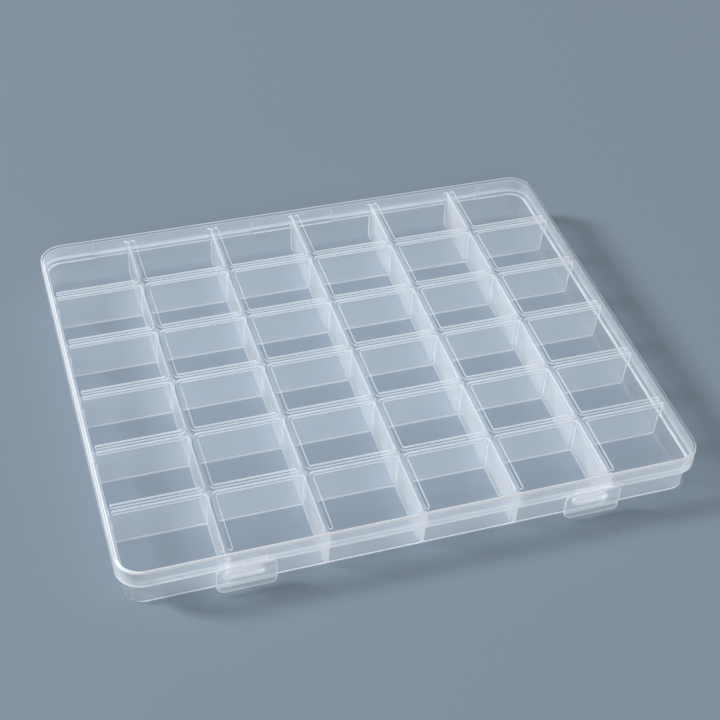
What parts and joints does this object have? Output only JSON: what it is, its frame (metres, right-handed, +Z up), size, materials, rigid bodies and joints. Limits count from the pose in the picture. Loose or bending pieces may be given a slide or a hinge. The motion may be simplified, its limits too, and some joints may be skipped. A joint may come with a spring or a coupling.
{
  "type": "compartment storage box",
  "caption": "Flat translucent plastic storage box: a shallow tray divided into a grid of small compartments, shut by a hinged lid with snap latches.",
  "frame": {"origin": "middle of the tray's underside, on the surface that the shut box stands on", "axes": "+X to the right along the longer side, +Y to the hinged back, +Z up through the lid"},
  "size_m": [0.275, 0.2275, 0.0245],
  "materials": {
    "tray_polypropylene": "moulded natural polypropylene, translucent and slightly milky, satin gloss",
    "lid_polypropylene": "moulded natural polypropylene, clearer than the tray, polished outer face",
    "latch_polypropylene": "moulded natural polypropylene, translucent, bright along its edges"
  },
  "bodies": {
    "tray": {"tray": "tray_polypropylene", "column_divider_1": "tray_polypropylene", "row_divider_1": "tray_polypropylene", "column_divider_2": "tray_polypropylene", "row_divider_2": "tray_polypropylene", "column_divider_3": "tray_polypropylene", "row_divider_3": "tray_polypropylene", "column_divider_4": "tray_polypropylene", "row_divider_4": "tray_polypropylene", "column_divider_5": "tray_polypropylene", "row_divider_5": "tray_polypropylene", "left_catch": "tray_polypropylene", "left_hinge_strip": "tray_polypropylene", "right_catch": "tray_polypropylene", "right_hinge_strip": "tray_polypropylene"},
    "lid": {"lid": "lid_polypropylene", "left_latch_web": "lid_polypropylene", "right_latch_web": "lid_polypropylene"},
    "left_latch": {"left_latch": "latch_polypropylene"},
    "right_latch": {"right_latch": "latch_polypropylene"}
  },
  "joints": [
    {"name": "lid_hinge", "type": "hinge", "parent": "tray", "child": "lid", "pos_m": [0, 0.1125, 0.01465], "axis": [-1, 0, 0], "range_deg": [0, 180]},
    {"name": "left_latch_hinge", "type": "hinge", "parent": "lid", "child": "left_latch", "pos_m": [-0.082, -0.1125, 0.01485], "axis": [-1, 0, 0], "range_deg": [0, 100]},
    {"name": "right_latch_hinge", "type": "hinge", "parent": "lid", "child": "right_latch", "pos_m": [0.082, -0.1125, 0.01485], "axis": [-1, 0, 0], "range_deg": [0, 100]}
  ]
}
